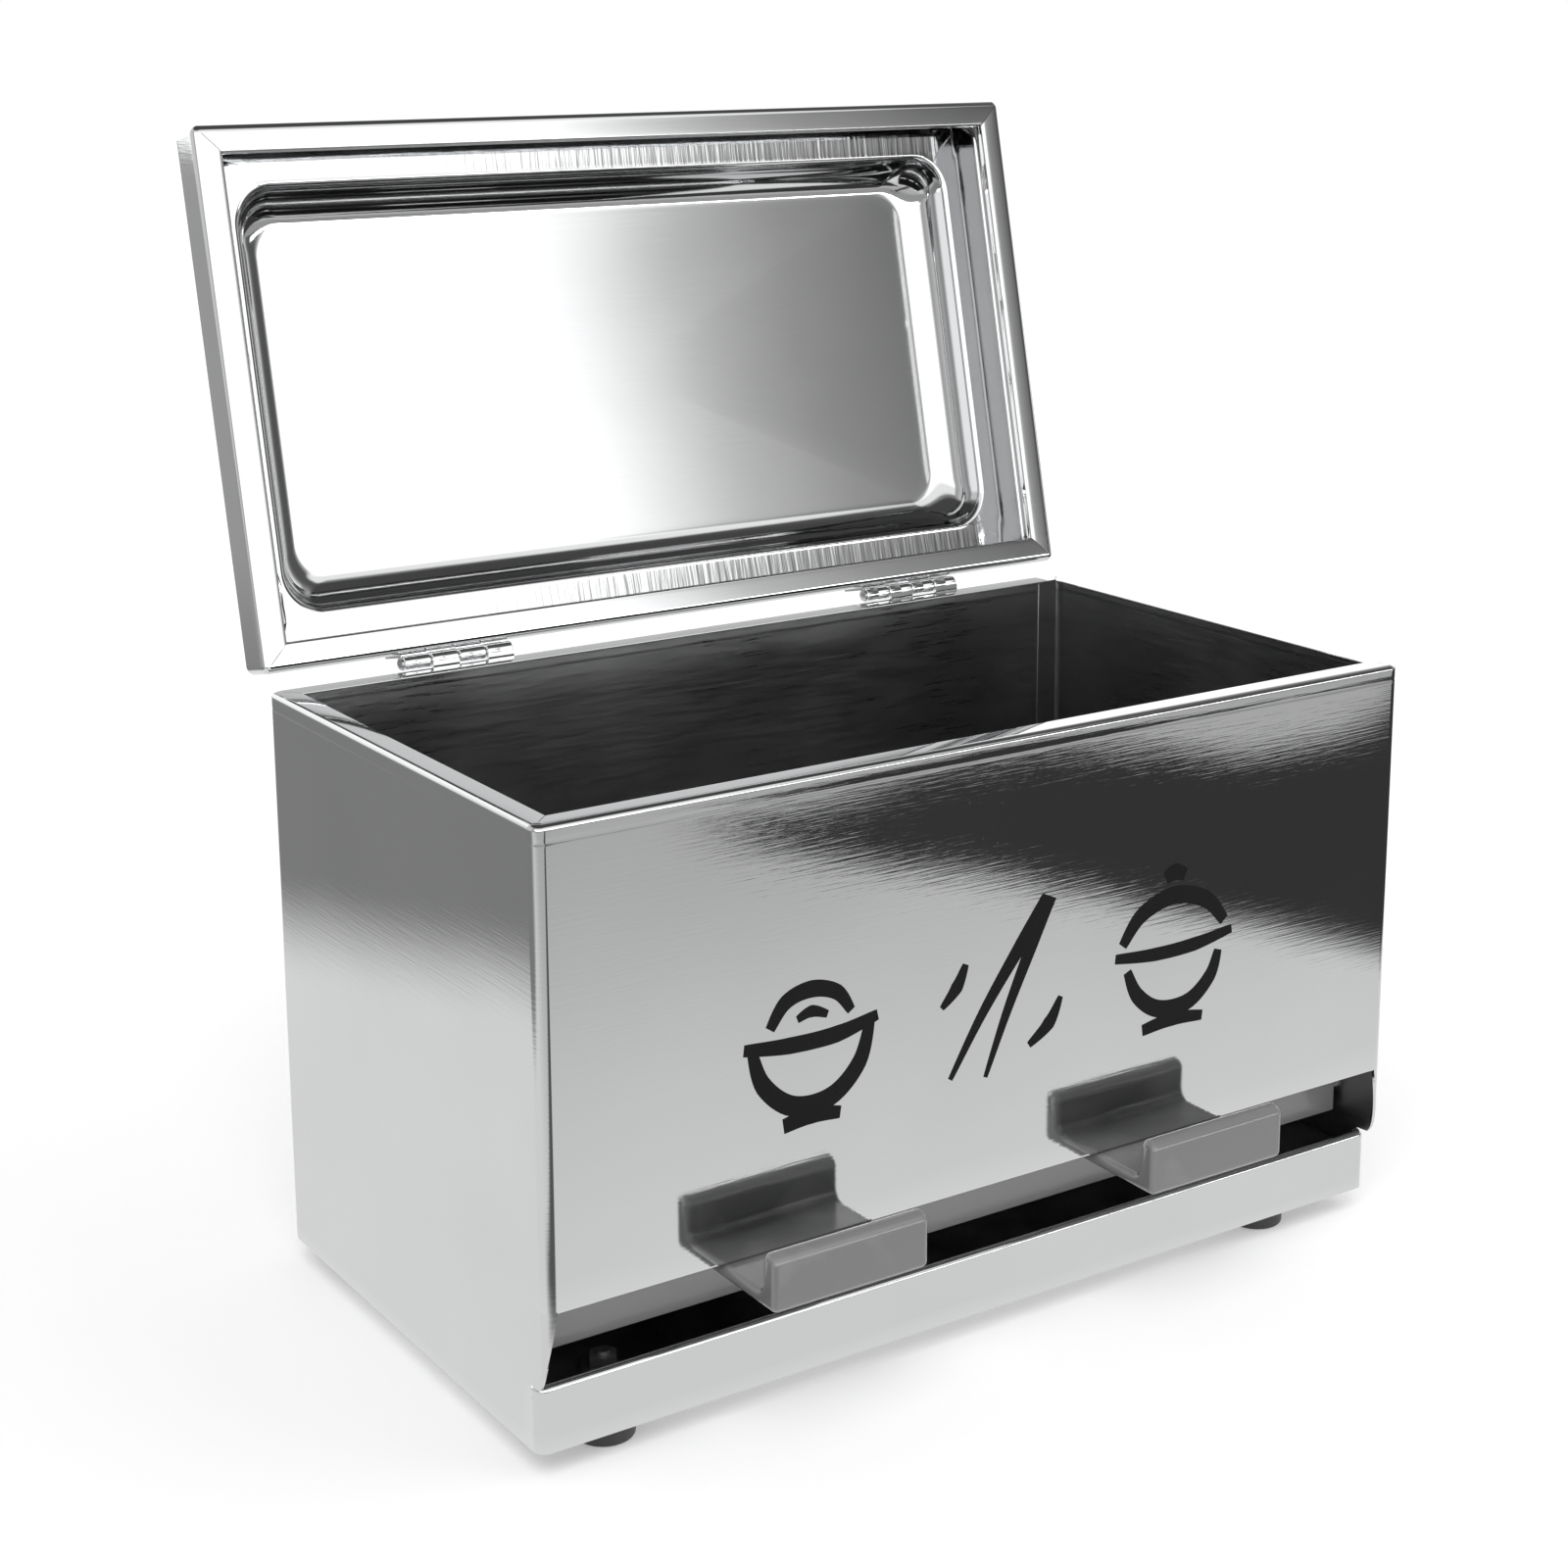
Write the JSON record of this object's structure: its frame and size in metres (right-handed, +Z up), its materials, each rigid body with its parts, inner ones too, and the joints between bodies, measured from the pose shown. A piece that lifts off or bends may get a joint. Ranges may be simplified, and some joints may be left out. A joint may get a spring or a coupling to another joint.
{
  "type": "chopstick holder with flip lid",
  "caption": "Folded stainless box that stores chopsticks, with a hinged flip lid and a press lever whose hooks catch them",
  "frame": {"origin": "On the table under the middle of the whole object's box, with the lid standing open", "axes": "+Z up, -Y out of the front with the hooks, +X to the right as seen from the front"},
  "size_m": [0.29, 0.2438, 0.334],
  "materials": {
    "polished_steel": "bright polished sheet with a faint grain",
    "plain_steel": "plain mill sheet",
    "zinc_steel": "bright zinc plate",
    "smoke_plastic": "smoke grey, soft gloss",
    "black_rubber": "matt moulded rubber"
  },
  "bodies": {
    "box": {"body_shell": "polished_steel", "base_pan": "plain_steel", "hopper_floor": "polished_steel", "lever_shaft": "zinc_steel", "left_shaft_bracket": "plain_steel", "right_shaft_bracket": "plain_steel", "left_shaft_clip": "zinc_steel", "right_shaft_clip": "zinc_steel", "left_return_spring": "zinc_steel", "right_return_spring": "zinc_steel", "left_hinge_body_leaf": "zinc_steel", "right_hinge_body_leaf": "zinc_steel", "left_hinge_pin": "zinc_steel", "right_hinge_pin": "zinc_steel", "front_left_foot": "black_rubber", "front_right_foot": "black_rubber", "back_left_foot": "black_rubber", "back_right_foot": "black_rubber", "foot_screws": "zinc_steel", "foot_washers": "zinc_steel", "foot_nuts": "zinc_steel"},
    "lid": {"lid_pan": "polished_steel", "left_hinge_lid_leaf": "zinc_steel", "right_hinge_lid_leaf": "zinc_steel"},
    "lever": {"press_lever": "smoke_plastic"}
  },
  "joints": [
    {"name": "lid_hinge", "type": "hinge", "parent": "box", "child": "lid", "pos_m": [0, 0.06468, 0.1765], "axis": [1, 0, 0], "range_deg": [0, 102.5]},
    {"name": "lever_press", "type": "hinge", "parent": "box", "child": "lever", "pos_m": [0, -0.07492, 0.0425], "axis": [1, 0, 0], "range_deg": [0, 25], "stiffness_Nm_per_rad": 0.25, "springref_deg": -12, "deforming": ["left_return_spring", "right_return_spring"]}
  ]
}
